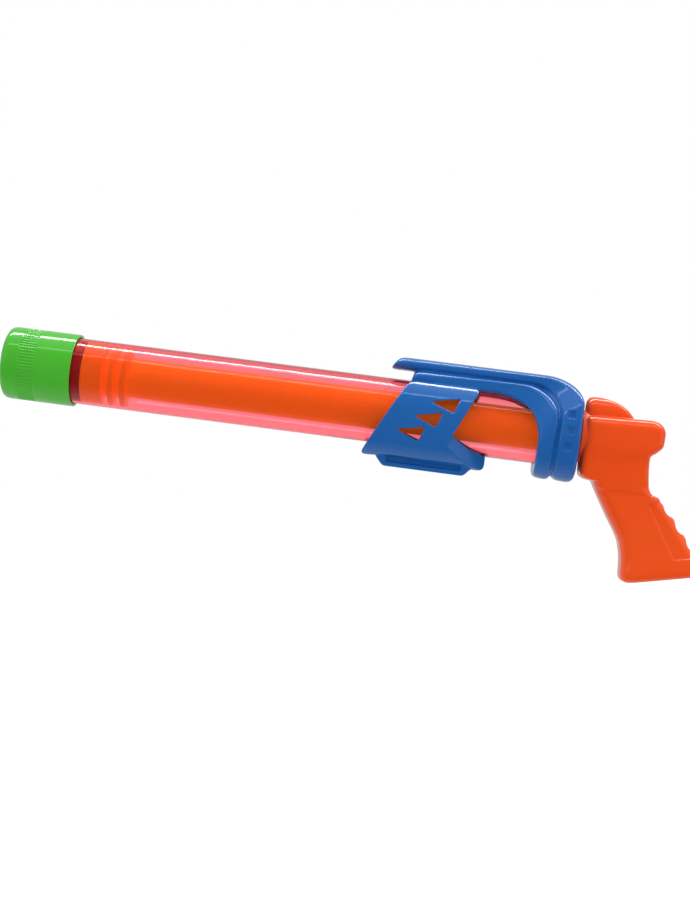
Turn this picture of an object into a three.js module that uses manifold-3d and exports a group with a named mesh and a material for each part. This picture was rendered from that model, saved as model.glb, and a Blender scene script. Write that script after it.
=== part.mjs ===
// Water squirter: a clear barrel with a screw cap, a plunger with a pistol grip, and a moulded guard.
// Millimetres, +Z up. The barrel lies along X, with the nozzle towards -X and the handle towards +X.
import * as THREE from 'three';
import { mergeVertices } from 'three/addons/utils/BufferGeometryUtils.js';
import Module from 'manifold-3d';

const wasm = await Module();
wasm.setup();

// Clearances
const fit = 0.3; // between pieces that touch or run in each other
const parting = 0.3; // between the two shells of a moulding
const restGap = 3.2; // between the collar and the handle with the plunger home

// Barrel tube and the bush in its rear end
const tubeRadius = 24;
const tubeWall = 1.8;
const tubeLength = 403;
const bushLength = 15;
const bushFlange = 2.6;

// Nozzle cap and its gasket
const capSkirt = 2.1;
const capLength = 52;
const capFrontWall = 6;
const capNoseFillet = 4.5;
const nozzleRadius = 3.25;
const spigotWall = 2.4;
const spigotReach = 58.4;
const ribBandStart = 12.6;
const ribBandLength = 12.7;
const ribCount = 48;
const ribHeight = 0.7;
const gasketThickness = 1.6;

// Piston and plunger
const pistonHeadLength = 14.9;
const pistonCoreRadius = 16;
const wiperWidth = 5.1;
const wiperTip = 3.1;
const wiperPitch = 8.9;
const firstGroove = 4.5;
const stubLength = 20;
const stubWall = 2.2;
const plungerRadius = 14.5;
const plungerWall = 1.6;
const pinRadius = 2.5;
const pinLength = 31;

// Guard, measured forwards from the rear face of its collar and up from the barrel's axis
const collarWall = 4.7;
const collarLip = 5.6;
const collarBottom = 34.7;
const ribSplit = 16.5;
const collarLength = 29.5;
const railTop = 40.2;
const railGroove = 31.4;
const railBottom = 21;
const railLength = 140.5;
const railCorner = 24;
const upperRailHalf = 11.5;
const lowerRailHalf = 15.5;
const railTipSlant = 7;
const bandOverlap = 1.5;
const railWall = 2.4;
const sleeveWall = 4;
const sleeveTop = 23;
const sleeveDepth = 35;
const sleeveFront = 125;
const sleeveFrontLean = 27.5;
const sleeveRear = 73.5;
const sleeveRearLean = 24.6;
const sternEnd = 64.3;
const sternTop = -11.4;
const sternAngle = 35;
const sternTilt = 10;
const keelFront = 143;
const keelRear = 72.6;
const keelBottom = -39.8;
const keelBar = 3.4;
const keelHalf = 13;
const keelNeckHalf = 11;
const keelEndSlant = 6;
const windowCount = 3;
const windowTip = [-108, 9.7];
const windowStep = [-11.2, -11.3];
const markCount = 3;
const markSize = 5.4;
const markPitch = 11.6;
const markDepth = 0.6;
const markMiddle = 1.6;

// Handle, measured back from its front face and up from the barrel's axis
const pocketDepth = 34;
const humpHalf = 11.5;
const handleWall = 2.6;
const panelStep = 0.8;
const fingerCount = 3;
const fingerPitch = 14.7;
const fingerRadius = 7.7;
const fingerDepth = 2.7;
const gripLean = 50.2;
const pinPlace = 20;

// Screws that join the shells, all alike
const screwHeadRadius = 2.7;
const screwHeadHeight = 2.2;
const screwShankRadius = 1.4;
const screwLength = 16;
const screwSeat = 7;
const bossRadius = 4.2;

// Sides of round pieces
const roundSides = 40;
const smallSides = 12;
const sectionPoints = 24;

// Places along the barrel that follow from the sizes above, from the front face of the cap
const boreRadius = tubeRadius - tubeWall;
const tubeFront = capFrontWall + gasketThickness + 2 * fit;
const tubeRear = tubeFront + tubeLength;
const collarSeat = tubeRear + bushFlange + 2 * fit;
const collarRear = collarSeat + collarLip;
const handleFront = collarRear + restGap;
const pistonFront = spigotReach + fit;
const pistonRear = pistonFront + pistonHeadLength + firstGroove + wiperPitch + wiperWidth;
const plungerFront = pistonRear + fit;
const plungerRear = handleFront + pocketDepth;
const guardBore = tubeRadius + fit;
const collarHalf = guardBore + collarWall;
const sleeveHalf = guardBore + sleeveWall;
const far = 2 * (collarRear + pocketDepth);

// Places of the screws along X and Z, in the rail, the collar, the keel and the handle
const railScrewZ = (railGroove + railTop) / 2;
const keelScrewZ = -(guardBore + sleeveDepth) / 2;
const guardScrews = [
  [-119, railScrewZ], [-52, railScrewZ], [-ribSplit / 2, -(guardBore + collarBottom) / 2],
  [-130, keelScrewZ], [-90, keelScrewZ],
];
const handleScrews = [[9, plungerRadius + bossRadius + 2], [51.5, 5], [31, -47], [70, -84]];

// Turns a closed geometry into a solid that can be joined and cut.
function solid(geometry) {
  const bare = geometry.clone();
  bare.deleteAttribute('normal');
  bare.deleteAttribute('uv');
  const merged = mergeVertices(bare, 1e-4);
  const corners = merged.index.array;
  const kept = [];
  for (let i = 0; i < corners.length; i += 3) {
    const [a, b, c] = corners.slice(i, i + 3);
    if (a !== b && b !== c && c !== a) kept.push(a, b, c);
  }
  const vertProperties = new Float32Array(merged.attributes.position.array);
  return new wasm.Manifold(new wasm.Mesh({ numProp: 3, vertProperties, triVerts: new Uint32Array(kept) }));
}

// Turns a finished solid back into a geometry.
function geometryOf(body) {
  const mesh = body.getMesh();
  const geometry = new THREE.BufferGeometry();
  geometry.setAttribute('position', new THREE.BufferAttribute(mesh.vertProperties.slice(), 3));
  geometry.setIndex(new THREE.BufferAttribute(mesh.triVerts.slice(), 1));
  geometry.computeVertexNormals();
  return geometry;
}

// Revolves a closed profile of [along X, radius] points about the X axis, outer wall first.
function revolve(profile, sides = roundSides) {
  const points = [...profile, profile[0]].map(([x, r]) => new THREE.Vector2(r, x));
  return new THREE.LatheGeometry(points, sides).rotateZ(-Math.PI / 2);
}

// A round bar along Y through a place [x, z], from one y to another.
function crossBar([x, z], radius, fromY, toY, sides = smallSides) {
  const length = toY - fromY;
  return new THREE.CylinderGeometry(radius, radius, length, sides).translate(x, fromY + length / 2, z);
}

// A box from its low corner to its high corner.
function block(low, high) {
  const size = high.map((value, axis) => value - low[axis]);
  const middle = high.map((value, axis) => (value + low[axis]) / 2);
  return new THREE.BoxGeometry(...size).translate(...middle);
}

// A closed outline through [a, b] points, each corner rounded by the radius given or by its own third value.
function rounded(points, radius) {
  const shape = new THREE.Shape();
  points.forEach(([a, b, own = radius], i) => {
    const corner = new THREE.Vector2(a, b);
    const before = new THREE.Vector2(...points.at(i - 1)).sub(corner);
    const after = new THREE.Vector2(...points[(i + 1) % points.length]).sub(corner);
    const reach = Math.min(own, before.length() / 2.1, after.length() / 2.1);
    const enter = before.setLength(reach).add(corner);
    const leave = after.setLength(reach).add(corner);
    if (i === 0) shape.moveTo(enter.x, enter.y);
    else shape.lineTo(enter.x, enter.y);
    if (reach > 0) shape.quadraticCurveTo(corner.x, corner.y, leave.x, leave.y);
  });
  shape.closePath();
  return shape;
}

// Extrudes a side outline (x, z) across Y, evenly to both sides.
function sidePlate(shape, half) {
  const depth = 2 * half;
  const plate = new THREE.ExtrudeGeometry(shape, { depth, curveSegments: 4, bevelEnabled: false });
  const across = new THREE.Matrix4().makeBasis(
    new THREE.Vector3(1, 0, 0), new THREE.Vector3(0, 0, 1), new THREE.Vector3(0, -1, 0));
  return plate.translate(0, 0, -half).applyMatrix4(across);
}

// Extrudes a cross outline (y, z) along X from one place to another.
function crossPlate(shape, fromX, toX) {
  const plate = new THREE.ExtrudeGeometry(shape, { depth: toX - fromX, bevelEnabled: false });
  const along = new THREE.Matrix4().makeBasis(
    new THREE.Vector3(0, 1, 0), new THREE.Vector3(0, 0, 1), new THREE.Vector3(1, 0, 0));
  return plate.applyMatrix4(along).translate(fromX, 0, 0);
}

// A soft-cornered section between two side points, with a half width across Y.
function softRing([startX, startZ], [endX, endZ], half, squareness) {
  const ring = [];
  for (let i = 0; i < sectionPoints; i += 1) {
    const angle = (2 * Math.PI * i) / sectionPoints;
    const soft = (value) => Math.sign(value) * Math.abs(value) ** (2 / squareness);
    const along = 0.5 + 0.5 * soft(Math.cos(angle));
    const x = THREE.MathUtils.lerp(startX, endX, along);
    const z = THREE.MathUtils.lerp(startZ, endZ, along);
    ring.push(new THREE.Vector3(x, half * soft(Math.sin(angle)), z));
  }
  return ring;
}

// A closed body through rings of equal counts, with flat ends.
function loft(rings) {
  const count = rings[0].length;
  const middle = (ring) => ring.reduce((sum, p) => sum.add(p), new THREE.Vector3()).divideScalar(count);
  const points = [...rings.flat(), middle(rings[0]), middle(rings.at(-1))];
  const last = (rings.length - 1) * count;
  const faces = [];
  for (let i = 0; i < count; i += 1) {
    const next = (i + 1) % count;
    for (let start = 0; start < last; start += count) {
      faces.push(start + i, start + next, start + count + next);
      faces.push(start + i, start + count + next, start + count + i);
    }
    faces.push(points.length - 2, next, i, points.length - 1, last + i, last + next);
  }
  return new THREE.BufferGeometry().setFromPoints(points).setIndex(faces);
}

// The solid with its faces turned out, whichever way its rings run.
function loftSolid(rings) {
  const body = solid(loft(rings));
  return body.volume() > 0 ? body : solid(loft(rings.toReversed()));
}

// The half of a moulding on one side of the parting plane: -1 is the left shell, +1 the right.
function shellHalf(body, side) {
  const near = (side * parting) / 2;
  const low = [-far, Math.min(near, side * far), -far];
  const high = [far, Math.max(near, side * far), far];
  return body.intersect(solid(block(low, high)));
}

// Cuts the screws' holes: a head recess in the right shell and a pilot hole in the left.
function drillScrews(body, places) {
  const headFloor = screwSeat - fit;
  const tip = screwSeat - screwLength - fit;
  return places.reduce((cut, place) => cut
    .subtract(solid(crossBar(place, screwHeadRadius + fit, headFloor, far)))
    .subtract(solid(crossBar(place, screwShankRadius + fit, tip, screwSeat))), body);
}

function barrelTube() {
  return revolve([
    [tubeFront, tubeRadius], [tubeRear, tubeRadius], [tubeRear, boreRadius], [tubeFront, boreRadius],
  ]);
}

// A turned cap: nose, sunk band for the grip ribs, skirt over the tube and spigot inside it.
function nozzleCap() {
  const radius = guardBore + capSkirt;
  const bandEnd = ribBandStart + ribBandLength;
  const spigotRadius = boreRadius - fit;
  const nose = [0, 1, 2, 3].map((step) => {
    const angle = (step / 3) * (Math.PI / 2);
    return [capNoseFillet * (1 - Math.sin(angle)), radius - capNoseFillet * (1 - Math.cos(angle))];
  }).toReversed();
  const turned = solid(revolve([
    [0, nozzleRadius], ...nose,
    [ribBandStart, radius], [ribBandStart, radius - ribHeight],
    [bandEnd, radius - ribHeight], [bandEnd, radius],
    [capLength - 1, radius], [capLength, radius - 1], [capLength, guardBore],
    [capFrontWall, guardBore], [capFrontWall, spigotRadius], [spigotReach - 1, spigotRadius],
    [spigotReach, spigotRadius - 1], [spigotReach, spigotRadius - spigotWall],
    [capFrontWall, spigotRadius - spigotWall], [capFrontWall, nozzleRadius],
  ]));
  const crests = [];
  for (let i = 0; i < 2 * ribCount; i += 1) {
    const angle = (Math.PI * i) / ribCount;
    const reach = i % 2 === 0 ? radius - 0.1 : radius - ribHeight - 0.1;
    crests.push(new THREE.Vector2(reach * Math.cos(angle), reach * Math.sin(angle)));
  }
  const band = new THREE.Shape(crests);
  band.holes.push(new THREE.Path().absarc(0, 0, radius - capSkirt / 2, 0, 2 * Math.PI, true));
  return geometryOf(turned.add(solid(crossPlate(band, ribBandStart - 0.1, bandEnd + 0.1))));
}

function capGasket() {
  const front = capFrontWall + fit;
  const back = front + gasketThickness;
  return revolve([[front, tubeRadius], [back, tubeRadius], [back, boreRadius], [front, boreRadius]]);
}

// A flanged bush: the flange is clamped between the tube's end and the collar's lip.
function guideBush() {
  const bore = plungerRadius + fit;
  const flangeFront = tubeRear + fit;
  return revolve([
    [tubeRear - bushLength, boreRadius - fit], [flangeFront, boreRadius - fit], [flangeFront, tubeRadius],
    [flangeFront + bushFlange, tubeRadius], [flangeFront + bushFlange, bore], [tubeRear - bushLength, bore],
  ]);
}

// A turned piston: full-bore head, two tapered wiper rings and a hollow stub inside the plunger.
function pistonHead() {
  const reach = boreRadius - fit;
  const headRear = pistonFront + pistonHeadLength;
  const taper = (wiperWidth - wiperTip) / 2;
  const stubRadius = plungerRadius - plungerWall - fit;
  const wipers = [0, 1].flatMap((i) => {
    const start = headRear + firstGroove + i * wiperPitch;
    return [
      [start, pistonCoreRadius], [start + taper, reach],
      [start + taper + wiperTip, reach], [start + wiperWidth, pistonCoreRadius],
    ];
  });
  return revolve([
    [pistonFront, 0], [pistonFront, reach - 1], [pistonFront + 1, reach], [headRear, reach],
    [headRear + 1, pistonCoreRadius], ...wipers,
    [pistonRear, stubRadius], [pistonRear + stubLength, stubRadius],
    [pistonRear + stubLength, stubRadius - stubWall], [headRear, stubRadius - stubWall], [headRear, 0],
  ]);
}

function plungerTube() {
  const inner = plungerRadius - plungerWall;
  const tube = solid(revolve([
    [plungerFront, plungerRadius], [plungerRear, plungerRadius], [plungerRear, inner], [plungerFront, inner],
  ]));
  const pinHole = crossBar([handleFront + pinPlace, 0], pinRadius + fit, -far, far);
  return geometryOf(tube.subtract(solid(pinHole)));
}

function crossPin() {
  return crossBar([handleFront + pinPlace, 0], pinRadius, -pinLength / 2, pinLength / 2);
}

// Half width of the collar at a height: round above the barrel's axis, deeper and fuller below it.
function collarWidth(z) {
  const depth = z > 0 ? railTop : collarBottom;
  const fullness = z > 0 ? 2 : 2.5;
  const share = Math.min(Math.abs(z) / depth, 0.995);
  return collarHalf * (1 - share ** fullness) ** (1 / fullness);
}

// The side line of a band's edge: along the rail, round an elliptical corner, then down the collar.
function bandLine(railX, railZ, ribX, cornerX, cornerZ, endZ) {
  const line = [];
  const rail = [0, 0.02, 0.06, 1];
  const bottom = [0.15, 0.3, 0.5, 0.7, 0.86, 0.95, 1];
  rail.forEach((share) => line.push([THREE.MathUtils.lerp(railX, ribX - cornerX, share), railZ]));
  for (let step = 1; step <= 8; step += 1) {
    const angle = (step / 8) * (Math.PI / 2);
    const x = ribX - cornerX * (1 - Math.sin(angle));
    line.push([x, railZ - cornerZ * (1 - Math.cos(angle))]);
  }
  bottom.forEach((share) => line.push([ribX, THREE.MathUtils.lerp(railZ - cornerZ, endZ, share)]));
  return line;
}

// One band of the guard between two edge lines: a rail that widens round its corner into a collar rib.
function guardBand(inner, outer, railHalf) {
  const railRings = 4;
  const cornerRings = 8;
  const ends = { 0: 0.55, 1: 0.85 };
  ends[inner.length - 1] = 0.45;
  ends[inner.length - 2] = 0.85;
  const rings = inner.map((start, i) => {
    const end = outer[i];
    const turn = THREE.MathUtils.smoothstep(i, railRings - 1, railRings - 1 + cornerRings);
    const half = THREE.MathUtils.lerp(railHalf, collarWidth((start[1] + end[1]) / 2), turn);
    const scale = ends[i] ?? 1;
    const shrink = (a, b) => THREE.MathUtils.lerp((a + b) / 2, a, scale);
    const from = [shrink(start[0], end[0]), shrink(start[1], end[1])];
    const to = [shrink(end[0], start[0]), shrink(end[1], start[1])];
    return softRing(from, to, half * (i < 2 ? scale : 1), 4.5);
  });
  return loftSolid(rings);
}

// The two bands of the guard, rail and collar, overlapping a little at the groove between them.
function guardBands() {
  const outer = bandLine(railTipSlant - railLength, railTop, 0, 28, 20, -collarBottom);
  const split = (shift, startX) => bandLine(
    startX, railGroove - shift, -ribSplit - shift, railCorner - shift, railCorner - shift,
    -collarBottom + Math.max(shift, 0));
  const inner = bandLine(-sleeveFront, railBottom, -collarLength, 38, 30, -collarBottom + 1);
  const upper = guardBand(split(bandOverlap, -railLength), outer, upperRailHalf);
  const lower = guardBand(inner, split(-bandOverlap, 3 - sleeveFront), lowerRailHalf);
  return upper.add(lower);
}

// The outline across the sleeve: round above the barrel's axis, deeper and fuller below it.
function sleeveWrap() {
  const points = [];
  for (let i = 0; i < roundSides; i += 1) {
    const angle = (2 * Math.PI * i) / roundSides;
    const below = Math.sin(angle) < 0;
    const soft = (value) => Math.sign(value) * Math.abs(value) ** (2 / (below ? 2.6 : 2));
    const depth = below ? sleeveDepth : sleeveHalf;
    points.push(new THREE.Vector2(sleeveHalf * soft(Math.cos(angle)), depth * soft(Math.sin(angle))));
  }
  return new THREE.Shape(points);
}

// The sleeve: a wrap round the tube with leaning ends and, below, a stern that narrows to the rear.
function guardSleeve() {
  const frontAt = (z) => -sleeveFront - (sleeveTop - z) * Math.tan(THREE.MathUtils.degToRad(sleeveFrontLean));
  const rearAt = (z) => -sleeveRear - (sleeveTop - z) * Math.tan(THREE.MathUtils.degToRad(sleeveRearLean));
  const sternSide = Math.sqrt(guardBore ** 2 - sternTop ** 2);
  const side = rounded([
    [frontAt(sleeveTop), sleeveTop], [rearAt(sleeveTop), sleeveTop], [rearAt(sternTop), sternTop, 0],
    [-sternEnd, sternTop], [-sternEnd, 0.5 - sleeveDepth], [-sleeveFront, 3.5 - sleeveDepth],
    [frontAt(1.5 - sleeveDepth), 1.5 - sleeveDepth],
  ], 4.5);
  const behind = new THREE.Shape([
    new THREE.Vector2(rearAt(sternTop) - fit, sternTop + fit), new THREE.Vector2(rearAt(-far), -far),
    new THREE.Vector2(far, -far), new THREE.Vector2(far, sternTop + fit),
  ]);
  const stern = solid(block([-far, 0, -far], [far, far, far])
    .rotateX(THREE.MathUtils.degToRad(sternTilt))
    .rotateZ(-THREE.MathUtils.degToRad(sternAngle))
    .translate(rearAt(sternTop), sternSide, sternTop)).intersect(solid(sidePlate(behind, far)));
  return solid(sidePlate(side, sleeveHalf + 1))
    .intersect(solid(crossPlate(sleeveWrap(), -far, 0)))
    .subtract(stern)
    .subtract(stern.mirror([0, 1, 0]));
}

// The keel under the sleeve, with slanted ends and a long recess in each side.
function guardKeel() {
  const barTop = keelBottom + keelBar;
  const lip = 2 - sleeveDepth;
  const root = -guardBore - 2;
  const keel = solid(sidePlate(rounded([
    [2 - keelFront, root, 0], [-keelFront, lip], [keelEndSlant - keelFront, keelBottom],
    [-keelRear - keelEndSlant, keelBottom], [-keelRear, lip], [-keelRear - 2, root, 0],
  ], 2), keelHalf));
  const recess = solid(block([8 - keelFront, keelNeckHalf, barTop], [-keelRear - 8, far, lip + 1]));
  return keel.subtract(recess).subtract(recess.mirror([0, 1, 0]));
}

// Windows, marks and the bore that are cut from the whole guard.
function guardCuts() {
  const cuts = [];
  for (let i = 0; i < windowCount; i += 1) {
    const [x, z] = windowTip.map((value, axis) => value + i * windowStep[axis]);
    const window = rounded([[x, z], [x + 20.7, z + 4.2], [x + 16.8, z - 6.4]], 0.8);
    cuts.push(solid(sidePlate(window, collarHalf)));
  }
  const bore = [[-far, guardBore], [-collarLip, guardBore], [-collarLip, 0], [-far, 0]];
  const exit = [[-far, plungerRadius + 1], [far, plungerRadius + 1], [far, 0], [-far, 0]];
  const hollowHalf = upperRailHalf - railWall;
  const hollowStart = railTipSlant + 2 * railWall - railLength;
  const hollowEnd = -ribSplit - railCorner;
  const hollow = block([hollowStart, -hollowHalf, railBottom], [hollowEnd, hollowHalf, railTop - railWall]);
  const bosses = guardScrews.map((place) => solid(crossBar(place, bossRadius, -far, far)));
  cuts.push(solid(revolve(bore)), solid(revolve(exit)));
  cuts.push(bosses.reduce((left, boss) => left.subtract(boss), solid(hollow)));
  for (let i = 0; i < markCount; i += 1) {
    const z = markMiddle + markPitch * (i - (markCount - 1) / 2);
    const reach = Math.min(collarWidth(z + markSize / 2), collarWidth(z - markSize / 2)) - markDepth;
    const middle = -ribSplit / 2;
    const low = [middle - markSize / 2, reach, z - markSize / 2];
    const high = [middle + markSize / 2, far, z + markSize / 2];
    const mark = solid(block(low, high));
    cuts.push(mark, mark.mirror([0, 1, 0]));
  }
  return cuts;
}

function guardShells() {
  const whole = guardBands().add(guardSleeve()).add(guardKeel());
  const cut = guardCuts().reduce((body, tool) => body.subtract(tool), whole);
  const drilled = drillScrews(cut, guardScrews);
  return [-1, 1].map((side) => geometryOf(shellHalf(drilled, side)));
}

// Stations of the handle from its base up: front edge, rear edge, half width and squareness.
const bodyHalf = plungerRadius + fit + 5.1;
const handleStations = [
  [[43.5, -100.4], [98.5, -88.0], 13.5, 3.4],
  [[40.2, -99.0], [101.3, -85.6], 16.2, 3.4],
  [[38.5, -95.5], [102.3, -82.6], 17.0, 3.4],
  [[37.9, -86.0], [97.4, -79.0], 16.6, 3.4],
  [[35.0, -72.7], [90.6, -72.7], 16.0, 3.4],
  [[24.2, -54.7], [76.4, -54.7], 15.8, 3.4],
  [[17.1, -43.2], [65.9, -43.2], 15.8, 3.4],
  [[13.4, -36.8], [58.9, -36.8], 15.7, 3.4],
  [[12.4, -35.0], [54.6, -34.6], 15.0, 3.4],
  [[10.2, -31.0], [52.4, -31.0], 15.2, 3.6],
  [[5.6, -30.4], [52.2, -30.4], 15.4, 4],
  [[2.2, -29.0], [52.0, -29.0], 16.0, 5],
  [[0.6, -26.5], [51.4, -26.5], 16.6, 6],
  [[0.1, -16.0], [49.9, -14.0], bodyHalf - 2.0, 7],
  [[0, -10.5], [49.7, -10.0], bodyHalf - 0.8, 7],
  [[0, -6.0], [54.0, -5.6], bodyHalf - 0.2, 7],
  [[0, 0], [58.0, 0], bodyHalf, 7],
  [[0, 8.0], [57.8, 9.0], bodyHalf, 7],
  [[0, 12.2], [56.2, 14.0], bodyHalf - 1.0, 7],
  [[1.2, 14.4], [52.8, 16.4], bodyHalf - 3.5, 6],
  [[3.0, 15.0], [49.0, 17.0], bodyHalf - 7.0, 5],
];

// The handle's main form, less an inset at its sides and back.
function handleForm(inset) {
  const rings = handleStations.map(([front, rear, half, square]) => {
    const back = [rear[0] - inset, rear[1]];
    return softRing(front, back, half - inset, square);
  });
  return loftSolid(rings);
}

// The hump on top of the handle, narrower than the body under it and sloping down to the tang.
function handleHump() {
  const levels = [[10, 0, 35.5, 1], [17, 0, 34, 1], [22, 0, 29.5, 0.99], [25.5, 0, 24, 0.95],
    [27.6, 0.8, 18.5, 0.86], [28.7, 2.2, 13.5, 0.7], [29.1, 4.5, 10.5, 0.5]];
  const rings = levels.map(([z, front, rear, share]) => softRing([front, z], [rear, z], share * humpHalf, 5));
  return loftSolid(rings);
}

// Hollows for the fingers of the second hand down the back of the grip.
function fingerHollows() {
  const lean = THREE.MathUtils.degToRad(gripLean);
  const down = [Math.cos(lean), -Math.sin(lean)];
  const out = [Math.sin(lean), Math.cos(lean)];
  const first = [65.4, -46.2];
  const hollows = [];
  for (let i = 0; i < fingerCount; i += 1) {
    const place = first.map((value, axis) => value + i * fingerPitch * down[axis] + fingerRadius * out[axis]);
    hollows.push(solid(crossBar(place, fingerRadius, -far, far, roundSides)));
  }
  const top = [59.4, -38.6].map((value, axis) => value + 4 * out[axis]);
  hollows.push(solid(crossBar(top, 4, -far, far, roundSides)));
  return hollows;
}

// The hollow inside the grip, a wall's thickness inside its main form and clear of the finger hollows.
function gripCavity() {
  const rings = handleStations.slice(3, 10).map(([front, rear, half, square]) => {
    const start = [front[0] + handleWall, front[1]];
    const end = [rear[0] - handleWall - fingerDepth, rear[1]];
    return softRing(start, end, half - handleWall, square);
  });
  const bosses = handleScrews.map((place) => solid(crossBar(place, bossRadius, -far, far)));
  return bosses.reduce((left, boss) => left.subtract(boss), loftSolid(rings));
}

function handleShells() {
  const panel = solid(sidePlate(rounded([
    [51.3, -43.1], [58.6, -38.9], [120, -38.9], [120, -72.4], [85.3, -77.2], [73.5, -79.6],
  ], 1), far));
  const form = handleForm(0);
  const skin = panel.subtract(handleForm(panelStep));
  const sunk = form.subtract(skin).add(handleHump());
  const scalloped = fingerHollows().reduce((body, hollow) => body.subtract(hollow), sunk);
  const pocketEnd = pocketDepth + fit;
  const pocketRadius = plungerRadius + fit;
  const pocket = [[-far, pocketRadius], [pocketEnd, pocketRadius], [pocketEnd, 0], [-far, 0]];
  const pinHole = crossBar([pinPlace, 0], pinRadius + fit, -pinLength / 2 - fit, pinLength / 2 + fit);
  const hollowed = scalloped
    .subtract(gripCavity())
    .subtract(solid(revolve(pocket)))
    .subtract(solid(pinHole));
  const drilled = drillScrews(hollowed, handleScrews);
  return [-1, 1].map((side) => geometryOf(shellHalf(drilled, side)));
}

// A pan-head screw along Y, its head towards +Y.
function shellScrew() {
  const screw = revolve([
    [-screwHeadHeight, 0], [-screwHeadHeight, screwHeadRadius - 0.8],
    [0.9 - screwHeadHeight, screwHeadRadius], [0, screwHeadRadius],
    [0, screwShankRadius], [screwLength - 1.5, screwShankRadius], [screwLength, 0],
  ], smallSides);
  return screw.rotateZ(-Math.PI / 2).translate(0, screwSeat, 0);
}

function plastic(color, roughness = 0.25) {
  return new THREE.MeshStandardMaterial({ color, roughness, metalness: 0 });
}

const pink = plastic('#ec7382', 0.08);
pink.transparent = true;
pink.opacity = 0.45;
const finishes = {
  pink,
  green: plastic('#4baf2d'),
  blue: plastic('#1c5ca5'),
  orange: plastic('#ec4b1e'),
  amber: plastic('#ee5a12'),
  white: plastic('#e6e6e0', 0.45),
  rubber: plastic('#26262a', 0.8),
  steel: new THREE.MeshStandardMaterial({ color: '#b9bcc0', roughness: 0.35, metalness: 1 }),
};

const squirter = new THREE.Group();
const assembly = new THREE.Group();
squirter.add(assembly);

function addPiece(name, geometry, finish, place = [0, 0, 0]) {
  const mesh = new THREE.Mesh(geometry, finishes[finish].clone());
  mesh.name = name;
  mesh.position.set(...place);
  assembly.add(mesh);
}

const [guardLeft, guardRight] = guardShells();
const [handleLeft, handleRight] = handleShells();
addPiece('barrel_tube', barrelTube(), 'pink');
addPiece('guide_bush', guideBush(), 'white');
addPiece('cap_gasket', capGasket(), 'rubber');
addPiece('nozzle_cap', nozzleCap(), 'green');
addPiece('piston_head', pistonHead(), 'amber');
addPiece('plunger_tube', plungerTube(), 'amber');
addPiece('cross_pin', crossPin(), 'steel');
addPiece('guard_left', guardLeft, 'blue', [collarRear, 0, 0]);
addPiece('guard_right', guardRight, 'blue', [collarRear, 0, 0]);
addPiece('handle_left', handleLeft, 'orange', [handleFront, 0, 0]);
addPiece('handle_right', handleRight, 'orange', [handleFront, 0, 0]);
guardScrews.forEach(([x, z], i) => {
  addPiece(`guard_screw_${i + 1}`, shellScrew(), 'steel', [collarRear + x, 0, z]);
});
handleScrews.forEach(([x, z], i) => {
  addPiece(`handle_screw_${i + 1}`, shellScrew(), 'steel', [handleFront + x, 0, z]);
});

// The origin lies under the middle of the squirter, level with the lowest point of its grip.
const bounds = new THREE.Box3().setFromObject(assembly);
assembly.position.set(-(bounds.min.x + bounds.max.x) / 2, 0, -bounds.min.z);

export default squirter;
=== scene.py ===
import math

import bpy
from mathutils import Matrix, Vector


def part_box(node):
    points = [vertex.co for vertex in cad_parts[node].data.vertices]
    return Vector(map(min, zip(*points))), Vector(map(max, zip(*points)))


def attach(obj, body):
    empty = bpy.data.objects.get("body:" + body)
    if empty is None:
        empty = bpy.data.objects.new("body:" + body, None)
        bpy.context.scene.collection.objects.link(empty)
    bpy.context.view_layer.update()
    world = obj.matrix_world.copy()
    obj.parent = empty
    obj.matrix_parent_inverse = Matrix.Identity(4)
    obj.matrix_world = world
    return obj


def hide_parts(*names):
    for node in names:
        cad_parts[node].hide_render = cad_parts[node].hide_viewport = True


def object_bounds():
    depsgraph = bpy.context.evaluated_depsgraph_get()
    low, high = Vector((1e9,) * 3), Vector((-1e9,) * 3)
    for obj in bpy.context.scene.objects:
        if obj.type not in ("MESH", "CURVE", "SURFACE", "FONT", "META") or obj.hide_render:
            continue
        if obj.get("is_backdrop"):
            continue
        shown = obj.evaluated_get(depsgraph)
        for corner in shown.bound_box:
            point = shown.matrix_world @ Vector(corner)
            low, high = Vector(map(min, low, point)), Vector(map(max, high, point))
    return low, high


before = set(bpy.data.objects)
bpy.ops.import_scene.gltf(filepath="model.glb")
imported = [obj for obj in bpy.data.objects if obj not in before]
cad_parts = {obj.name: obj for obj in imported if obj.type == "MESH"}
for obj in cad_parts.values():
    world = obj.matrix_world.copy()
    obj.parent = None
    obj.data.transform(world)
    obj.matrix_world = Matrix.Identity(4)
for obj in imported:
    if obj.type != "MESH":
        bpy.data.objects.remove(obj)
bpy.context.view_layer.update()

# Barrel: a clear pink tube of hard plastic, extruded, cut square and eased at both rims.
# The cap screws on its front end, and a bush plugs its rear end inside the guard's collar.
MM = 0.001
TUBE_OUTER, TUBE_INNER = 24.0, 22.2
TUBE_FRONT, TUBE_REAR = 8.2, 411.2
TUBE_RIM = 0.5
PINK_TINT, PINK_DENSITY = (0.95, 0.075, 0.175, 1), 440
nose_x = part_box("nozzle_cap")[0].x
tube_low, tube_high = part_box("barrel_tube")
axis_z = (tube_low.z + tube_high.z) / 2


def start_mesh(name):
    """A new mesh in edit mode that holds one vertex, at the origin."""
    bpy.ops.object.select_all(action="DESELECT")
    bpy.ops.mesh.primitive_plane_add(size=1, location=(0, 0, 0))
    piece = bpy.context.object
    piece.name = piece.data.name = name
    bpy.ops.object.mode_set(mode="EDIT")
    bpy.ops.mesh.select_all(action="SELECT")
    bpy.ops.mesh.merge(type="CENTER")
    return piece


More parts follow.
